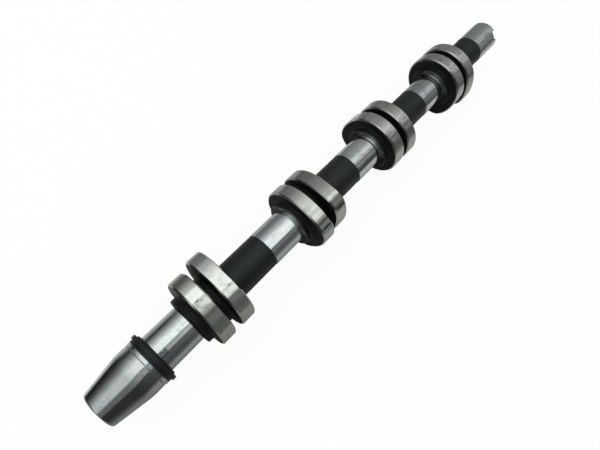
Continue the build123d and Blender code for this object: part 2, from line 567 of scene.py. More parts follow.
@dataclass(frozen=True)
class BlackCasting:
    """Iron as cast, with a black coat that greys towards the tail.

    Attributes:
        lobe_face: Place of the first lobe's front face, where a patch of the coat is lighter.
    """

    lobe_face: float
    name: str = "black_casting"
    # the coat at the nose and where it is greyest, before it blackens again at the tail
    coat: Colour = (0.0078, 0.0116, 0.0108, 1.0)
    greyed: Colour = (0.0110, 0.0153, 0.0138, 1.0)
    greying: Pair = (20.0, 250.0)
    blackening: Pair = (290.0, 345.0)
    blackened: float = 0.9
    roughness: float = 0.46
    gloss: float = 0.30
    # wide patches and fine grain, and what they change in the greying and the roughness
    patches: Pattern = Pattern(0.12, 3.0)
    patches_grey: float = 0.5
    patches_rough: float = 0.3
    grain: Pattern = Pattern(1.3, 4.0)
    grain_grey: float = 0.8
    grain_rough: float = 0.2
    grain_depth: float = 0.04
    # a lighter patch on the lobe's face, weakest where the grain is low
    face_patch: Colour = (0.190, 0.190, 0.176, 1.0)
    face_patch_width: Pair = (0.9, 0.4)
    face_patch_start: Pair = (-90.0, -76.0)
    face_patch_end: Pair = (-38.0, -54.0)
    face_patch_reach: Pair = (17.0, 20.5)
    face_patch_grain: Pair = (0.30, 0.55)
    face_patch_least: float = 0.6

    def make(self) -> bpy.types.Material:
        """Builds the material.

        Returns:
            The material.
        """
        bench = MaterialBench(self.name)
        grain = self.grain.on(bench)
        patchy, grainy = self.patches.on(bench) - NOISE_MIDDLE, grain - NOISE_MIDDLE
        greyed = bench.x.step(*self.greying) - bench.x.step(*self.blackening) * self.blackened
        greyed = greyed + patchy * self.patches_grey + grainy * self.grain_grey
        colour = bench.mix(greyed.math("MAXIMUM", 0.0), self.coat, self.greyed)
        on_face = abs(bench.x - self.lobe_face).step(*self.face_patch_width)
        face_patch = on_face * bench.reach.step(*self.face_patch_reach)
        face_patch = face_patch * bench.angle.window(self.face_patch_start, self.face_patch_end)
        patchily = grain.step(*self.face_patch_grain) * (1.0 - self.face_patch_least) + self.face_patch_least
        colour = bench.mix(face_patch * patchily, colour, self.face_patch)
        roughness = self.roughness + patchy * self.patches_rough + grainy * self.grain_rough
        return bench.surface(colour, roughness, grain, self.grain_depth, 0.0, self.gloss)


@dataclass(frozen=True)
class BlackPit(BlackCasting):
    """A darker, rougher and less glossy copy of the black coat, on the hubs and the lobes' faces.
    """

    name: str = "black_pit"
    coat: Colour = (0.0062, 0.0082, 0.0070, 1.0)
    greyed: Colour = (0.0042, 0.0056, 0.0044, 1.0)
    roughness: float = 0.55
    gloss: float = 0.2


@dataclass(frozen=True)
class MachinedIron:
    """Turned and milled iron: the nose's face, the bolt hole and the drive slot.

    Attributes:
        slot_floor: Place of the drive slot's floor along the shaft.
    """

    slot_floor: float
    name: str = "machined_iron"
    bright: Colour = (0.50, 0.53, 0.52, 1.0)
    roughness: float = 0.32
    # stains, and what they add to the roughness
    dark: Colour = (0.36, 0.38, 0.37, 1.0)
    stains: Pattern = Pattern(0.4, 3.0)
    stain_levels: Pair = (0.35, 0.70)
    stain_haze: float = 0.15
    # painted shade down in the slot, whose edges are measured from its floor
    slot_shade: Colour = (0.15, 0.16, 0.155, 1.0)
    below_floor: Pair = (-3.0, -1.0)
    above_floor: Pair = (4.6, 0.5)
    # the turning marks: how many radians to a millimetre, and how deep
    feed: float = 40.0
    feed_depth: float = 0.006

    def make(self) -> bpy.types.Material:
        """Builds the material.

        Returns:
            The material.
        """
        bench = MaterialBench(self.name)
        stains = self.stains.on(bench)
        colour = bench.mix(stains.step(*self.stain_levels), self.bright, self.dark)
        lower, upper = (
            tuple(self.slot_floor + offset for offset in edge)
            for edge in (self.below_floor, self.above_floor)
        )
        # painted shade down in the slot
        colour = bench.mix(bench.x.window(lower, upper), colour, self.slot_shade)
        roughness = self.roughness + stains * self.stain_haze
        marks = (bench.reach * self.feed + bench.x * self.feed).math("SINE")
        return bench.surface(colour, roughness, marks, self.feed_depth)


@dataclass(frozen=True)
class FacedIron:
    """The hub's turned front face: painted reflection bright near the top, black elsewhere."""

    name: str = "faced_iron"
    # rubbed is the bright colour of the painted reflection, and black the rest of the face
    rubbed: Colour = (0.74, 0.78, 0.77, 1.0)
    black: Colour = (0.026, 0.031, 0.029, 1.0)
    highlight_start: Pair = (-58.0, -5.0)
    highlight_end: Pair = (80.0, 25.0)
    # what takes the painted reflection away, and how much: the way to the tail, the rim, dark
    # blots, and on the hindmost hubs more of the rim
    fading: Pair = (130.0, 300.0)
    fading_share: float = 0.50
    rim: Pair = (16.1, 17.0)
    rim_share: float = 0.9
    blots: Pattern = Pattern(0.5, 3.0)
    blot_levels: Pair = (0.50, 0.75)
    blot_share: float = 0.35
    hindmost: Pair = (130.0, 200.0)
    hindmost_rim: Pair = (14.5, 17.4)
    hindmost_share: float = 0.5
    roughness: float = 0.27
    blot_haze: float = 0.1
    # the turning marks: how many radians to a millimetre, and how deep
    feed: float = 14.0
    feed_depth: float = 0.004

    def make(self) -> bpy.types.Material:
        """Builds the material.

        Returns:
            The material.
        """
        bench = MaterialBench(self.name)
        blots = self.blots.on(bench)
        hindmost = bench.x.step(*self.hindmost)
        # painted reflection of the journal's highlight, bright near the top of the face
        bright = bench.angle.window(self.highlight_start, self.highlight_end)
        for lost in (
            bench.x.step(*self.fading) * self.fading_share,
            bench.reach.step(*self.hindmost_rim) * hindmost * self.hindmost_share,
            bench.reach.step(*self.rim) * self.rim_share,
            blots.step(*self.blot_levels) * self.blot_share,
        ):
            bright = bright * (1.0 - lost)
        colour = bench.mix(bright, self.black, self.rubbed)
        roughness = self.roughness + blots * self.blot_haze
        marks = (bench.reach * self.feed).math("SINE")
        return bench.surface(colour, roughness, marks, self.feed_depth)


@dataclass(frozen=True)
class PaleFloor:
    """The floor: white to the camera, and shaded by place where bright iron mirrors it.

    The shades stand for the room low down round the object. They are set for the camera's
    own view, so to bright iron this floor is not a plain one.
    """

    name: str = "pale_floor"
    seen: Colour = (0.97, 0.97, 0.97, 1.0)
    white: float = 0.93
    # from the nose to the tail
    near: Colour = (0.28, 0.28, 0.27, 1.0)
    far: Colour = (0.70, 0.70, 0.69, 1.0)
    to_tail: Pair = (-60.0, 250.0)
    # to the sides of the tail, whose edge lies aslant
    aside: Colour = (0.32, 0.32, 0.31, 1.0)
    aside_from: Pair = (20.0, 100.0)
    past_tail: Pair = (300.0, 380.0)
    slant: float = 0.8
    # the lighter stretch on one side of the nose
    lit_along: Pair = (150.0, 60.0)
    lit_from: Pair = (10.0, 40.0)
    lit_to: Pair = (110.0, 60.0)
    lit_share: float = 0.6
    # the dark far off, less of it on one side, and a painted shadow right under the shaft
    dark: Colour = (0.02, 0.02, 0.02, 1.0)
    far_off: Pair = (70.0, 230.0)
    far_off_share: float = 0.7
    one_side: Pair = (0.0, 60.0)
    one_side_share: float = 0.35
    under: Pair = (45.0, 5.0)
    under_share: float = 0.35
    # the dark corners on both sides of the nose
    corners: Pair = (-15.0, -60.0)
    left_corner: Pair = (50.0, 100.0)
    right_corner: Pair = (-35.0, -75.0)
    right_share: float = 0.6

    def make(self) -> bpy.types.Material:
        """Builds the material.

        Returns:
            The material.
        """
        bench = MaterialBench(self.name)
        x, y, away = bench.x, bench.y, abs(bench.y)
        seen = bench.ray(Ray.CAMERA)
        past_tail = (x + y * self.slant).step(*self.past_tail)
        shade = bench.mix(away.step(*self.aside_from) * past_tail, self.far, self.aside)
        shade = bench.mix(x.step(*self.to_tail, "LINEAR"), self.near, shade)
        lit = x.step(*self.lit_along) * y.window(self.lit_from, self.lit_to) * self.lit_share
        shade = bench.mix(lit, shade, self.seen)
        kept = self.far_off_share - y.step(*self.one_side) * self.one_side_share
        # the dark far off, and a painted shadow right under the shaft
        dimmed = away.step(*self.far_off) * kept + away.step(*self.under) * self.under_share
        shade = bench.mix(dimmed, shade, self.dark)
        corners = y.step(*self.left_corner) + y.step(*self.right_corner) * self.right_share
        shade = bench.mix(corners * x.step(*self.corners), shade, self.dark)
        shade = bench.mix(seen, shade, self.seen)
        matt = bench.signal("ShaderNodeBsdfDiffuse", None, {"Color": shade})
        white = bench.signal("ShaderNodeEmission", None, {"Strength": 1.0})
        return bench.output(bench.mix_shaders(seen * self.white, matt, white))


@dataclass(frozen=True)
class Ring:
    """One ring of the skin: a place on the outline, and what the skin is like there."""

    place: float
    radius: float
    lift: float
    nose: float
    finish: Finish


@dataclass(frozen=True)
class Corner:
    """A corner of the skin's outline, in the plane through the shaft axis.

    Attributes:
        place: Place along the shaft.
        radius: Radius, or the base circle's radius on a lobe.
        round: Radius of the blend at the corner.
        finish: Finish of the skin from this corner to the next.
        lift: Share of the cam lift here: 0 on a turned corner, 1 on a lobe.
        nose: Angle of the lobe's nose.
        bead: Whether the blend is a fine broken edge, which takes one facet.
    """

    place: float
    radius: float
    round: float
    finish: Finish
    lift: float
    nose: float
    bead: bool

    def ring(self, place: float, radius: float) -> Ring:
        """A ring of the skin beside this corner."""
        return Ring(place, radius, self.lift, self.nose, self.finish)


@dataclass
class Outline:
    """Turns corners into rings: rounds them, and adds rings where the skin needs them.

    Attributes:
        arc_steps: Facets across a blend.
        support: Distance of the ring that holds a flat beside a blend.
        broken: Size of the facet that breaks an edge.
        cast_step: Longest stretch of cast skin without a ring.
        grown: Finishes of cast skin.
        corners: The corners, in order along the skin.
    """

    arc_steps: int = 6
    support: float = 0.06
    broken: float = 0.12
    cast_step: float = 2.6
    grown: tuple[Finish, ...] = (Finish.CAST, Finish.PIT)
    corners: list[Corner] = field(default_factory=list)

    def add(
        self,
        place: float,
        radius: float,
        finish: Finish,
        blend: float = 0.0,
        lobe_nose: float | None = None,
        bead: bool = False,
    ) -> None:
        """Adds a corner, which is on a lobe where it is given the angle of a lobe's nose."""
        lift = 0.0 if lobe_nose is None else 1.0
        self.corners.append(Corner(place, radius, blend, finish, lift, lobe_nose or 0.0, bead))

    def edge(
        self, place: float, radius: float, finish: Finish, lobe_nose: float | None = None
    ) -> None:
        """Adds an outer corner whose edge is broken by a fine facet."""
        self.add(place, radius, finish, self.broken, lobe_nose, bead=True)

    def _rounded(self, before: Corner, corner: Corner, after: Corner) -> list[Ring]:
        """Makes the rings of one corner.

        Args:
            before: The corner before it.
            corner: The corner.
            after: The corner after it.

        Returns:
            The rings, in order.
        """
        here = (corner.place, corner.radius)
        back = self._direction(here, (before.place, before.radius))
        ahead = self._direction(here, (after.place, after.radius))
        opening = math.acos(max(-1.0, min(1.0, back[0] * ahead[0] + back[1] * ahead[1])))
        reach = corner.round / math.tan(opening / 2)
        steps = 1 if corner.bead else self.arc_steps
        bisector = self._direction((0.0, 0.0), (back[0] + ahead[0], back[1] + ahead[1]))
        centre = self._along(here, bisector, corner.round / math.sin(opening / 2))
        start = self._along(here, back, reach)
        first = math.atan2(start[1] - centre[1], start[0] - centre[0])
        turn = math.pi - opening
        side = 1.0 if back[0] * ahead[1] - back[1] * ahead[0] > 0 else -1.0
        points = []
        for step in range(steps + 1):
            angle = first - side * turn * step / steps
            points.append(self._along(centre, (math.cos(angle), math.sin(angle)), corner.round))
        if not corner.bead:
            points.insert(0, self._along(here, back, reach + self.support))
            points.append(self._along(here, ahead, reach + self.support))
        return [corner.ring(*point) for point in points]

    @staticmethod
    def _direction(start: tuple, end: tuple) -> tuple[float, float]:
        """Unit step from one point of the outline to another."""
        length = math.dist(start, end)
        return (end[0] - start[0]) / length, (end[1] - start[1]) / length

    @staticmethod
    def _along(start: tuple, direction: tuple, distance: float) -> tuple[float, float]:
        """The point at a distance from another in a direction."""
        return start[0] + direction[0] * distance, start[1] + direction[1] * distance

    def rings(self) -> list[Ring]:
        """Makes all rings of the skin.

        Returns:
            The rings, from the bottom of the bolt hole to the tail's centre.
        """
        made: list[Ring] = []
        for index, corner in enumerate(self.corners):
            if corner.round and 0 < index < len(self.corners) - 1:
                made += self._rounded(self.corners[index - 1], corner, self.corners[index + 1])
            else:
                made.append(corner.ring(corner.place, corner.radius))
        filled: list[Ring] = []
        for ring, after in zip(made, made[1:] + made[-1:]):
            filled.append(ring)
            span = after.place - ring.place
            if ring.finish in self.grown and ring.lift == after.lift == 0.0:
                pieces = max(1, math.ceil(span / self.cast_step))
                for piece in range(1, pieces):
                    share = piece / pieces
                    radius = ring.radius + (after.radius - ring.radius) * share
                    place = ring.place + span * share
                    filled.append(Ring(place, radius, 0.0, 0.0, ring.finish))
        return filled


class GeometryTree(Bench):
    """A geometry tree with named inputs."""

    def __init__(self, name: str) -> None:
        """Makes the tree.

        Args:
            name: Name of the tree.
        """
        super().__init__(bpy.data.node_groups.new(name, "GeometryNodeTree"))
        self.values: dict[str, object] = {}
        self._socket("Geometry", "OUTPUT", "NodeSocketGeometry")
        self._socket("Geometry", "INPUT", "NodeSocketGeometry")
        self.start = self.node("NodeGroupInput")

    def _socket(self, name: str, side: str, kind: str) -> str:
        """Adds a socket to the tree's interface and returns its identifier."""
        made = self.tree.interface.new_socket(name, in_out=side, socket_type=kind)
        return made.identifier

    def input(self, name: str, value: object, kind: str = "NodeSocketFloat") -> Signal:
        """Adds a named input, and notes its value under the socket's identifier."""
        self.values[self._socket(name, "INPUT", kind)] = value
        return Signal(self, self.start.outputs[name])

    def length(self, name: str, value: float) -> Signal:
        """Adds a named input for a length in millimetres."""
        return self.input(name, value * MM)

    def angle(self, name: str, value: float) -> Signal:
        """Adds a named input for an angle in degrees."""
        return self.input(name, math.radians(value))

    def attribute(self, name: str) -> Signal:
        """Reads a named attribute."""
        settings = {"data_type": "FLOAT"}
        return self.signal("GeometryNodeInputNamedAttribute", settings, {"Name": name})

    def row(self, width: Number) -> Signal:
        """Row of a grid that a point or face is in, where a row has this many of them."""
        return ((self.signal("GeometryNodeInputIndex") + 0.5) / width).math("FLOOR")

    def column(self, row: Signal, width: Number) -> Signal:
        """Column of a grid that a point is in."""
        return self.signal("GeometryNodeInputIndex") - row * width

    def flag(self, number: Signal) -> Signal:
        """Turns a number into a yes or no: yes where it is above a half."""
        settings = {"operation": "GREATER_THAN", "data_type": "FLOAT"}
        return self.signal("FunctionNodeCompare", settings, {0: number, 1: 0.5})

    def merged(self, geometry: Signal, distance: float) -> Signal:
        """Joins the points that lie within a distance of each other."""
        inputs = {0: geometry, "Distance": distance * MM}
        return self.signal("GeometryNodeMergeByDistance", None, inputs)

    def dressed(
        self, geometry: Signal, material: bpy.types.Material, selection: SocketValue = True
    ) -> Signal:
        """Gives faces a material, through an input of its name.

        Args:
            geometry: The geometry.
            material: The material.
            selection: Which faces.

        Returns:
            The geometry with the material.
        """
        value = self.input(material.name, material, "NodeSocketMaterial")
        inputs = {0: geometry, "Selection": selection, "Material": value}
        return self.signal("GeometryNodeSetMaterial", None, inputs)

    def finish(self, geometry: Signal) -> None:
        """Sends a geometry out of the tree."""
        self.node("NodeGroupOutput", None, {0: geometry})

    def run(self, item: bpy.types.Object) -> None:
        """Runs the tree on an object and keeps the result as its plain mesh.

        Args:
            item: The object.
        """
        modifier = item.modifiers.new(self.tree.name, "NODES")
        modifier.node_group = self.tree
        for identifier, value in self.values.items():
            modifier[identifier] = value
        view = bpy.context.evaluated_depsgraph_get()
        mesh = bpy.data.meshes.new_from_object(item.evaluated_get(view))
        item.modifiers.clear()
        item.data = mesh
        mesh.name = item.name


def in_scene(name: str, data: bpy.types.ID) -> bpy.types.Object:
    """Makes an object of a mesh, lamp or camera and puts it in the scene.

    Args:
        name: Name of the object.
        data: What it shows.

    Returns:
        The object.
    """
    item = bpy.data.objects.new(name, data)
    bpy.context.scene.collection.objects.link(item)
    return item


@dataclass
class CamshaftCasting:
    """The camshaft's one iron casting: nose, journals, hubs, lobes and tail."""

    # the stretch of shaft that each cylinder repeats
    cylinders: int = 4
    cylinder_pitch: float = 90.0
    journal_radius: float = 13.0
    journal_length: float = 24.0
    tail_journal_length: float = 30.5
    cast_radius: float = 12.8
    cast_fillet: float = 2.0
    shaft_fillet: float = 3.0
    # each hub, and the turned relief before it: on some hubs it starts a lead before the
    # journal's end, and a share of that lead is left behind it
    hub_radius: float = 17.2
    hub_length: float = 6.0
    hub_round: float = 0.8
    face_finishes: tuple = (Finish.PIT, Finish.FACED, Finish.FACED, Finish.FACED)
    face_fillet: float = 0.8
    face_overlap: float = 0.2
    relief_width: float = 1.2
    relief_radius: float = 12.5
    relief_finishes: tuple = (Finish.CAST, Finish.MACHINED, Finish.CAST, Finish.CAST)
    relief_leads: tuple = (0.0, 0.0, 0.9, 1.3)
    lead_left: float = 0.2
    # lobes
    lobe_width: float = 10.8
    lobe_gap: float = 5.7
    base_radius: float = 24.5
    lift: float = 5.0
    flank_angle: float = 64.0
    lobe_chamfer: float = 0.9
    firing_order: tuple = (1, 3, 4, 2)
    first_nose_angle: float = -30.0
    lobe_lag: float = 24.0
    # thrust collar, its shoulder and the ring before it
    collar_rear: float = -1.0
    collar_front: float = -3.7
    collar_radius: float = 17.5
    collar_round: float = 0.5
    shoulder_radius: float = 15.2
    shoulder_fillet: float = 0.4
    ground_gap: float = 0.1
    black_ends: float = -5.6
    ring_front: float = -8.2
    ring_radius: float = 16.3
    groove_width: float = 0.5
    groove_radius: float = 15.5
    # seal land, taper and bolt hole
    land_front: float = -16.4
    land_radius: float = 16.0
    land_blend: float = 36.0
    taper_small: float = 11.9
    nose_end: float = -40.8
    nose_round: float = 1.8
    core_radius: float = 5.2
    thread_radius: float = 6.0
    thread_end: float = 28.0
    sink_radius: float = 6.8
    bolt_depth: float = 34.0
    drill_point_angle: float = 118.0
    # drive slot and centre hole; the bar that cuts the slot is so many journal radii long
    slot_width: float = 9.0
    slot_depth: float = 5.0
    slot_angle: float = 47.0
    slot_floor_round: float = 0.6
    slot_round_steps: int = 4
    slot_bar_radii: float = 3.0
    tail_chamfer: float = 1.5
    centre_hole_radius: float = 2.5
    centre_hole_angle: float = 60.0
    centre_hole_lip: float = 0.3
    # the mesh, and the grain of cast skin: its depth and how many waves it has to a millimetre
    segments: int = 216
    skin_merge: float = 0.001
    cut_merge: float = 0.002
    sharp_angle: float = 18.0
    cast_relief: float = 0.07
    cast_waves: float = 0.42

    @property
    def tail_end(self) -> float:
        """Place of the tail's end face."""
        return self.cylinders * self.cylinder_pitch + self.tail_journal_length

    def build(self, finishes: Mapping[Finish, bpy.types.Material]) -> bpy.types.Object:
        """Makes the casting and dresses it.

        Args:
            finishes: The material of each finish.

        Returns:
            The casting's object.
        """
        item = in_scene("camshaft_casting", self._ring_mesh(self._outline().rings()))
        self._tree(finishes).run(item)
        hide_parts(NODE)
        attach(item, BODY)
        return item

    def _outline(self) -> Outline:
        """Sets out the corners of the skin.

        Returns:
            The outline, from the bottom of the bolt hole to the tail's centre.
        """
        outline = Outline()
        self._add_nose(outline)
        for cylinder in range(self.cylinders):
            self._add_cylinder(outline, cylinder)
        self._add_tail(outline)
        return outline

    def _add_nose(self, outline: Outline) -> None:
        """Adds the bolt hole, the taper, the seal land, the ring and the collar.

        Args:
            outline: The outline.
        """
        machined, ground, cast = Finish.MACHINED, Finish.GROUND, Finish.CAST
        mouth, bottom = self.nose_end, self.nose_end + self.bolt_depth
        point = self.core_radius / math.tan(math.radians(self.drill_point_angle / 2))
        deeper = self.thread_radius - self.core_radius
        thread_end = mouth + self.thread_end
        groove_rear = self.ring_front + self.groove_width
        outline.add(bottom + point, 0.0, machined)
        outline.add(bottom, self.core_radius, machined)
        outline.add(thread_end + deeper, self.core_radius, machined)
        outline.add(thread_end, self.thread_radius, machined)
        outline.add(mouth + self.sink_radius - self.thread_radius, self.thread_radius, machined)
        outline.edge(mouth, self.sink_radius, machined)
        outline.add(mouth, self.taper_small, ground, self.nose_round)
        outline.add(self.land_front, self.land_radius, ground, self.land_blend)
        outline.edge(self.ring_front, self.land_radius, machined)
        outline.add(self.ring_front, self.groove_radius, machined)
        outline.add(groove_rear, self.groove_radius, machined)
        outline.edge(groove_rear, self.ring_radius, ground)
        for place, radius, blend in (
            (self.black_ends, self.ring_radius, 0.0),
            (self.collar_front, self.ring_radius, 0.0),
            (self.collar_front, self.collar_radius, self.collar_round),
            (self.collar_rear, self.collar_radius, self.collar_round),
            (self.collar_rear, self.shoulder_radius, 0.0),
            (0.0, self.shoulder_radius, self.collar_round),
            (0.0, self.journal_radius, self.shoulder_fillet),
        ):
            outline.add(place, radius, cast, blend)
        outline.add(self.shoulder_fillet + self.ground_gap, self.journal_radius, ground)

    def _add_cylinder(self, outline: Outline, cylinder: int) -> None:
        """Adds a journal's end, its hub, two lobes and the shaft to the next journal.

        Args:
            outline: The outline.
            cylinder: Number of the cylinder, from 0.
        """
        cast, pit, ground = Finish.CAST, Finish.PIT, Finish.GROUND
        start = cylinder * self.cylinder_pitch
        relief = start + self.journal_length
        turned_on = -360.0 / self.cylinders * self.firing_order.index(cylinder + 1)
        nose = self.first_nose_angle + turned_on
        face, lead = self.face_finishes[cylinder], self.relief_leads[cylinder]
        outline.edge(relief - lead, self.journal_radius, self.relief_finishes[cylinder])
        outline.add(relief - lead, self.relief_radius, self.relief_finishes[cylinder])
        root, fillet = self.relief_radius, 0.0
        if lead:
            root, fillet = self.journal_radius, self.face_fillet
            outline.add(relief - lead * self.lead_left, self.relief_radius, face)
            outline.add(relief - lead * self.lead_left, root, face)
        hub = relief + self.relief_width
        outline.add(hub, root, face, fillet)
        outline.add(hub, self.hub_radius, face, self.hub_round)
        outline.add(hub + self.hub_round + self.face_overlap, self.hub_radius, pit)
        lobe = relief + self.hub_length
        for lobe_nose, radius, behind, blend in (
            (nose, self.hub_radius, pit, self.cast_fillet),
            (nose - self.lobe_lag, self.cast_radius, cast, self.shaft_fillet),
        ):
            outline.add(lobe, self.hub_radius, pit, self.cast_fillet)
            self._add_lobe(outline, lobe, lobe_nose)
            outline.add(lobe + self.lobe_width, radius, behind, blend)
            lobe += self.lobe_width + self.lobe_gap
        outline.add(start + self.cylinder_pitch, self.cast_radius, cast)
        outline.edge(start + self.cylinder_pitch, self.journal_radius, ground)

    def _add_lobe(self, outline: Outline, start: float, nose: float) -> None:
        """Adds the rim of one lobe.

        Args:
            outline: The outline.
            start: Place of the lobe's front face.
            nose: Angle of the lobe's nose.
        """
        end, inner = start + self.lobe_width, self.base_radius - self.lobe_chamfer
        outline.edge(start, inner, Finish.GROUND, nose)
        outline.edge(start + self.lobe_chamfer, self.base_radius, Finish.GROUND, nose)
        outline.edge(end - self.lobe_chamfer, self.base_radius, Finish.GROUND, nose)
        outline.edge(end, inner, Finish.PIT, nose)

    def _add_tail(self, outline: Outline) -> None:
        """Adds the last journal's end and the centre hole.

        Args:
            outline: The outline.
        """
        machined, end = Finish.MACHINED, self.tail_end
        floor = end - self.slot_depth
        slope = math.tan(math.radians(self.centre_hole_angle / 2))
        wide = self.centre_hole_radius + self.centre_hole_lip * slope
        outline.edge(end - self.tail_chamfer, self.journal_radius, machined)
        outline.edge(end, self.journal_radius - self.tail_chamfer, machined)
        outline.add(end, wide, machined)
        outline.add(floor + self.centre_hole_lip, wide, machined)
        outline.add(floor - self.centre_hole_radius / slope, 0.0, machined)

    @staticmethod
    def _ring_mesh(rings: list[Ring]) -> bpy.types.Mesh:
        """Puts the rings into a mesh of one point each, with their values as attributes.

        Args:
            rings: The rings.

        Returns:
            The mesh.
        """
        mesh = bpy.data.meshes.new("rings")
        mesh.from_pydata([(ring.place * MM, 0.0, 0.0) for ring in rings], [], [])
        columns = {
            "place": [ring.place * MM for ring in rings],
            "radius": [ring.radius * MM for ring in rings],
            "lift_share": [ring.lift for ring in rings],
            "nose_angle": [math.radians(ring.nose) for ring in rings],
            "finish_code": [float(ring.finish) for ring in rings],
        }
        for name, values in columns.items():
            mesh.attributes.new(name, "FLOAT", "POINT").data.foreach_set("value", values)
        return mesh

    def _tree(self, finishes: Mapping[Finish, bpy.types.Material]) -> GeometryTree:
        """Builds the tree that makes the casting from its rings.

        Args:
            finishes: The material of each finish.

        Returns:
            The tree.
        """
        tree = GeometryTree("casting_from_rings")
        settings = {"operation": "DIFFERENCE", "solver": "EXACT"}
        inputs = {"Mesh 1": self._skin(tree), "Mesh 2": self._slot_bar(tree)}
        cut = tree.signal("GeometryNodeMeshBoolean", settings, inputs)
        bend = tree.signal("GeometryNodeInputMeshEdgeAngle")
        soft = tree.flag(bend < tree.angle("Sharp Angle", self.sharp_angle))
        inputs = {"Geometry": tree.merged(cut, self.cut_merge), "Shade Smooth": soft}
        shaded = tree.signal("GeometryNodeSetShadeSmooth", {"domain": "EDGE"}, inputs)
        casting = tree.signal("GeometryNodeRealizeInstances", None, {0: shaded})
        code = tree.attribute("finish")
        for finish, material in finishes.items():
            picked = tree.flag(1.0 - abs(code - float(finish)))
            casting = tree.dressed(casting, material, picked)
        tree.finish(casting)
        return tree

    def _skin(self, tree: GeometryTree) -> Signal:
        """Wraps a grid round the shaft, a row of it for each ring, and closes it.

        Args:
            tree: The tree.

        Returns:
            The closed skin.
        """
        rings = Signal(tree, tree.start.outputs["Geometry"])
        segments = tree.input("Segments", self.segments, "NodeSocketInt")
        lift, flank = tree.length("Lift", self.lift), tree.angle("Flank Angle", self.flank_angle)
        relief = tree.length("Cast Relief", self.cast_relief)
        count = tree.signal("GeometryNodeAttributeDomainSize", None, {0: rings})
        inputs = {"Vertices X": count, "Vertices Y": segments + 1}
        grid = tree.signal("GeometryNodeMeshGrid", None, inputs)

        def of_ring(name: str, ring: Signal) -> Signal:
            """Looks a ring's value up."""
            inputs = {"Geometry": rings, "Value": tree.attribute(name), "Index": ring}
            return tree.signal("GeometryNodeSampleIndex", {"data_type": "FLOAT"}, inputs)

        coded = tree.signal(
            "GeometryNodeStoreNamedAttribute",
            {"data_type": "FLOAT", "domain": "FACE"},
            {0: grid, "Name": "finish", "Value": of_ring("finish_code", tree.row(segments))},
        )
        row = tree.row(segments + 1)
        share = tree.column(row, segments + 1) / segments
        angle = (share - share.math("FLOOR")) * math.tau
        off_nose = (angle - of_ring("nose_angle", row)).math("WRAP", math.pi, -math.pi)
        lifted = (abs(off_nose) < flank) * of_ring("lift_share", row) * lift / 2
        turn = math.pi / flank
        rise = lifted * ((off_nose * turn).math("COSINE") + 1)
        slope = lifted * turn * (off_nose * turn).math("SINE") * -1
        along_y, along_z = angle.math("SINE") * -1, angle.math("COSINE")
        radius = of_ring("radius", row) + rise
        place = of_ring("place", row)
        y = radius * along_y - slope * along_z
        z = radius * along_z + slope * along_y
        # cast skin is grained, except on the lobes
        rough = of_ring("finish_code", row) > Finish.CAST - 0.5
        turned = of_ring("lift_share", row) < 0.5
        noise = tree.noise(tree.vector(place, y, z), self.cast_waves / MM)
        grown = (noise - NOISE_MIDDLE) * relief * rough * turned
        position = tree.vector(place, y + grown * along_y, z + grown * along_z)
        wrapped = tree.signal("GeometryNodeSetPosition", None, {0: coded, "Position": position})
        return tree.merged(wrapped, self.skin_merge)

    def _slot_bar(self, tree: GeometryTree) -> Signal:
        """Makes the bar that cuts the drive slot, with its rounded floor corners.

        Args:
            tree: The tree.

        Returns:
            The bar, in place.
        """
        width = tree.length("Slot Width", self.slot_width)
        depth = tree.length("Slot Depth", self.slot_depth)
        half = tree.length("Slot Length", self.slot_bar_radii * self.journal_radius) * 0.5
        inputs = {"Width": depth * 2, "Height": width}
        outline = tree.signal("GeometryNodeCurvePrimitiveQuadrilateral", None, inputs)
        radius = tree.length("Slot Round", self.slot_floor_round)
        inputs = {"Curve": outline, "Radius": radius, "Count": self.slot_round_steps}
        rounded = tree.signal("GeometryNodeFilletCurve", {"mode": "POLY"}, inputs)
        inputs = {"Start": tree.vector(0.0, 0.0, half * -1), "End": tree.vector(0.0, 0.0, half)}
        line = tree.signal("GeometryNodeCurvePrimitiveLine", {"mode": "POINTS"}, inputs)
        inputs = {"Curve": line, "Profile Curve": rounded, "Fill Caps": True}
        bar = tree.signal("GeometryNodeCurveToMesh", None, inputs)
        place = tree.vector(tree.length("Tail End", self.tail_end), 0.0, 0.0)
        turned = tree.vector(tree.angle("Slot Angle", self.slot_angle), 0.0, 0.0)
        inputs = {0: bar, "Translation": place, "Rotation": turned}
        return tree.signal("GeometryNodeTransform", None, inputs)


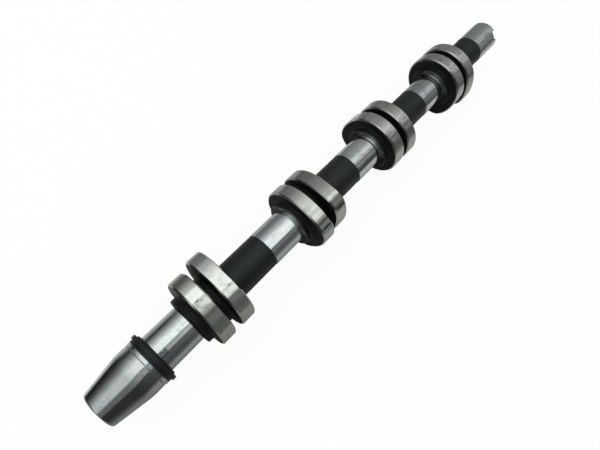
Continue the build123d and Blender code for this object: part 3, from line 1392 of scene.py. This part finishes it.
@dataclass
class BoltThread:
    """The internal thread of the nose's bolt hole, a ridge wound on the hole's wall."""

    # the hole: its mouth, and its radius on the ridge and on the wall
    mouth: float
    core_radius: float
    thread_radius: float
    # the ridge; run_out is the share of it over which each end fades
    start: float = 1.7
    length: float = 25.0
    pitch: float = 1.5
    root_width: float = 1.3
    crest_width: float = 0.25
    sunk: float = 0.1
    run_out: float = 0.03
    steps_per_turn: int = 40
    merge: float = 0.0001

    def build(self, material: bpy.types.Material) -> bpy.types.Object:
        """Makes the thread.

        Args:
            material: Its finish.

        Returns:
            The thread's object.
        """
        item = in_scene("bolt_thread", bpy.data.meshes.new("bolt_thread"))
        self._tree(material).run(item)
        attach(item, BODY)
        return item

    def _tree(self, material: bpy.types.Material) -> GeometryTree:
        """Builds the tree that winds the ridge.

        Args:
            material: Its finish.

        Returns:
            The tree.
        """
        tree = GeometryTree("wound_thread")
        turns = tree.input("Turns", self.length / self.pitch)
        steps = tree.input("Steps", self.steps_per_turn)
        run_out = tree.input("Run Out", self.run_out)
        length = tree.length("Length", self.length)
        start = tree.length("Start", self.mouth + self.start)
        core = tree.length("Core Radius", self.core_radius)
        deep = self.thread_radius + self.sunk - self.core_radius
        height = tree.length("Ridge Height", deep)
        root = tree.length("Root Width", self.root_width)
        crest = tree.length("Crest Width", self.crest_width)
        # columns 0 and 4 are the same root corner, 1 and 2 the crest, 3 the other root corner
        rows, columns = (turns * steps).math("ROUND"), 5
        inputs = {"Vertices X": rows, "Vertices Y": columns}
        grid = tree.signal("GeometryNodeMeshGrid", None, inputs)
        row = tree.row(columns)
        column = tree.column(row, columns)
        share = row / (rows - 1)
        angle = share * turns * math.tau
        at_crest = (abs(column - 1.5) < 1.0) * 1.0
        far_side = (abs(column - 2.5) < 1.0) * 1.0
        kept = share.step(0.0, run_out) * share.step(1.0, 1.0 - run_out)
        width = at_crest * crest + (1.0 - at_crest) * root
        along = (far_side - 0.5) * width * kept
        radius = core + height - at_crest * height * kept
        position = tree.vector(
            start + share * length + along,
            radius * angle.math("SINE") * -1,
            radius * angle.math("COSINE"),
        )
        moved = tree.signal("GeometryNodeSetPosition", None, {0: grid, "Position": position})
        closed = tree.merged(moved, self.merge)
        outward = tree.signal("GeometryNodeFlipFaces", None, {0: closed})
        flat = tree.signal("GeometryNodeSetShadeSmooth", None, {0: outward, "Shade Smooth": False})
        real = tree.signal("GeometryNodeRealizeInstances", None, {0: flat})
        tree.finish(tree.dressed(real, material))
        return tree


@dataclass(frozen=True)
class Panel:
    """A long light or wall beside the shaft, as bright surfaces see it.

    Angles are turned about the shaft from straight up. What it gives depends on how far along
    the shaft a direction points: -1 to the nose, 0 straight across and 1 to the tail.

    Attributes:
        rise: Angles between which it comes up.
        fall: Angles between which it goes down.
        along: Pairs of how far along a direction points, and the brightness there.
        lean: How many degrees the first side leans towards the tail, and the second towards
            the nose.
    """

    rise: Pair
    fall: Pair
    along: tuple
    lean: Pair = (0.0, 0.0)

    def light(self, bench: Bench, angle: Signal, along: Signal) -> Signal:
        """Adds the panel's light.

        Args:
            bench: The world's bench.
            angle: The direction's angle round the shaft, in degrees.
            along: How far along the shaft the direction points, from -1 to 1.

        Returns:
            The panel's brightness in that direction.
        """
        up = (angle - along.math("MAXIMUM", 0.0) * self.lean[0]).step(*self.rise, kind="LINEAR")
        down = (angle + along.math("MINIMUM", 0.0) * self.lean[1]).step(self.fall[1], self.fall[0])
        peak = max(level for _, level in self.along)
        stops = [((place + 1) / 2, (level / peak,) * 3) for place, level in self.along]
        shape = bench.signal("ShaderNodeValToRGB", {"stops": stops}, {0: (along + 1) / 2})
        return up * up * down * shape * peak


@dataclass
class Studio:
    """The pale floor, the light round the object, and the camera.

    Matt surfaces get a plain soft light. Bright iron mirrors the panels instead, which nothing
    else sees. They are set for the camera's own view.
    """

    floor_size: float = 8000.0
    # the camera: its place, the directions of its axes, and its lens
    camera_place: tuple = (4.529, -59.358, 286.056)
    camera_right: tuple = (0.64685, -0.74623, 0.15722)
    camera_up: tuple = (0.63934, 0.64302, 0.42163)
    camera_back: tuple = (-0.41573, -0.17221, 0.89304)
    camera_sensor: float = 36.0
    camera_lens: float = 26.984
    camera_shift: Pair = (-0.02356, -0.02713)
    camera_nearest: float = 10.0
    # the soft lamp overhead, and the room's light on matt surfaces
    key_power: float = 5.0
    key_size: float = 1200.0
    key_place: tuple = (-300.0, 500.0, 1500.0)
    room_light: float = 0.80
    # what bright surfaces see of the room
    sky_tint: Colour = (0.97, 1.0, 0.99, 1.0)
    panels: tuple[Panel, ...] = (
        # the room itself, all round
        Panel((-200, -190), (190, 200), (
            (-0.4, 0.035), (-0.07, 0.06), (-0.02, 0.0), (0.055, 0.0), (0.085, 0.13), (0.33, 0.14),
            (0.55, 0.12), (0.70, 0.15), (0.80, 0.25),
        )),
        # straight across, the room starts above the bench's edge
        Panel((-82, -78), (190, 200), (
            (-0.07, 0.0), (-0.02, 0.08), (0.055, 0.11), (0.085, 0.0),
        )),
        # the overhead softbox, whose far side fades
        Panel((-90, -23), (7, 16), (
            (-0.45, 0.74), (-0.06, 1.14), (0.04, 1.45), (0.35, 1.24), (0.55, 0.70), (0.70, 0.36),
            (0.82, 0.26),
        ), (35.0, 12.0)),
        # the strip beside it
        Panel((12, 20), (34, 43), (
            (-0.45, 0.14), (-0.06, 0.38), (0.04, 0.48), (0.12, 1.20), (0.38, 1.22), (0.50, 0.50),
            (0.70, 0.36), (0.82, 0.26),
        ), (0.0, 20.0)),
        # the gap between them, which is half closed
        Panel((2, 8), (16, 24), (
            (-0.06, 0.0), (0.04, 0.35), (0.12, 0.35), (0.33, 0.72), (0.55, 0.45), (0.70, 0.25),
            (0.80, 0.14),
        )),
        # a fainter strip, lower down
        Panel((42, 50), (57, 68), (
            (-0.10, 0.0), (0.04, 0.06), (0.33, 0.13), (0.55, 0.18), (0.70, 0.08), (0.82, 0.08),
        )),
        # the doorway on the far side, just past the nose
        Panel((-200, -190), (-85, -55), (
            (0.055, 0.0), (0.085, 0.16), (0.18, 0.12), (0.30, 0.0),
        )),
        # the wall on the far side
        Panel((-200, -190), (-50, -20), (
            (-0.10, 0.0), (0.04, 0.02), (0.33, 0.09), (0.55, 0.18), (0.70, 0.06), (0.80, 0.02),
        )),
    )

    def build(self, lowest: float) -> None:
        """Makes the floor, the light and the camera.

        Args:
            lowest: Height of the object's lowest point, in metres.
        """
        self._floor(lowest)
        self._world()
        self._key()
        self._camera()
        bpy.context.scene.view_settings.view_transform = "Standard"

    def _floor(self, lowest: float) -> None:
        """Lays the floor.

        Args:
            lowest: Its height, in metres.
        """
        half = self.floor_size * MM / 2
        mesh = bpy.data.meshes.new("floor")
        square = [(-half, -half), (half, -half), (half, half), (-half, half)]
        mesh.from_pydata([(x, y, lowest) for x, y in square], [], [(0, 1, 2, 3)])
        mesh.materials.append(PaleFloor().make())
        floor = in_scene("floor", mesh)
        floor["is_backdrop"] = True

    def _world(self) -> None:
        """Lights the room: plain for matt surfaces, panels for bright ones, white behind."""
        world = bpy.data.worlds.new("studio")
        bpy.context.scene.world = world
        world.use_nodes = True
        bench = Bench(world.node_tree)
        x, y, z = bench.parts(bench.signal("ShaderNodeTexCoord", output="Generated"))
        angle = bench.turned(y, z)
        glow: Number = 0.0
        for panel in self.panels:
            glow = panel.light(bench, angle, x) + glow
        room, gloss, white = (
            bench.signal("ShaderNodeBackground", None, {"Color": colour, "Strength": strength})
            for colour, strength in ((WHITE, self.room_light), (self.sky_tint, glow), (WHITE, 1.0))
        )
        lit = bench.mix_shaders(bench.ray(Ray.GLOSSY), room, gloss)
        whole = bench.mix_shaders(bench.ray(Ray.CAMERA), lit, white)
        bench.node("ShaderNodeOutputWorld", None, {"Surface": whole})

    def _key(self) -> None:
        """Hangs one large soft lamp over the object, unseen by bright surfaces."""
        data = bpy.data.lights.new("softbox", "AREA")
        data.energy = self.key_power
        data.size = self.key_size * MM
        lamp = in_scene("softbox", data)
        lamp.location = [value * MM for value in self.key_place]
        aim = -lamp.location
        lamp.rotation_euler = aim.to_track_quat("-Z", "Y").to_euler()
        lamp.visible_glossy = False

    def _camera(self) -> None:
        """Sets the camera up."""
        data = bpy.data.cameras.new("camera")
        data.lens = self.camera_lens
        data.sensor_width = self.camera_sensor
        data.shift_x, data.shift_y = self.camera_shift
        data.clip_start = self.camera_nearest * MM
        camera = in_scene("camera", data)
        place = Matrix.Translation([value * MM for value in self.camera_place])
        turned = Matrix((self.camera_right, self.camera_up, self.camera_back)).transposed()
        camera.matrix_world = place @ turned.to_4x4()
        bpy.context.scene.camera = camera


def main() -> None:
    """Builds each piece in turn and reports it."""
    logging.basicConfig(level=logging.INFO, format="%(name)s: %(message)s")
    cad_box = [list(corner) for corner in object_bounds()]
    casting = CamshaftCasting()
    thread = BoltThread(casting.nose_end, casting.core_radius, casting.thread_radius)
    lobe_face = casting.journal_length + casting.hub_length
    finishes = {
        Finish.MACHINED: MachinedIron(casting.tail_end - casting.slot_depth).make(),
        Finish.FACED: FacedIron().make(),
        Finish.GROUND: GroundIron().make(),
        Finish.CAST: BlackCasting(lobe_face).make(),
        Finish.PIT: BlackPit(lobe_face).make(),
    }
    for item in (casting.build(finishes), thread.build(finishes[Finish.MACHINED])):
        LOG.info("%s: %d faces", item.name, len(item.data.polygons))
    lowest = cad_box[0][2]
    Studio().build(lowest)
    LOG.info("studio: floor at %.2f mm", lowest / MM)
    LOG.info("sizes written")


if __name__ == "__main__":
    main()
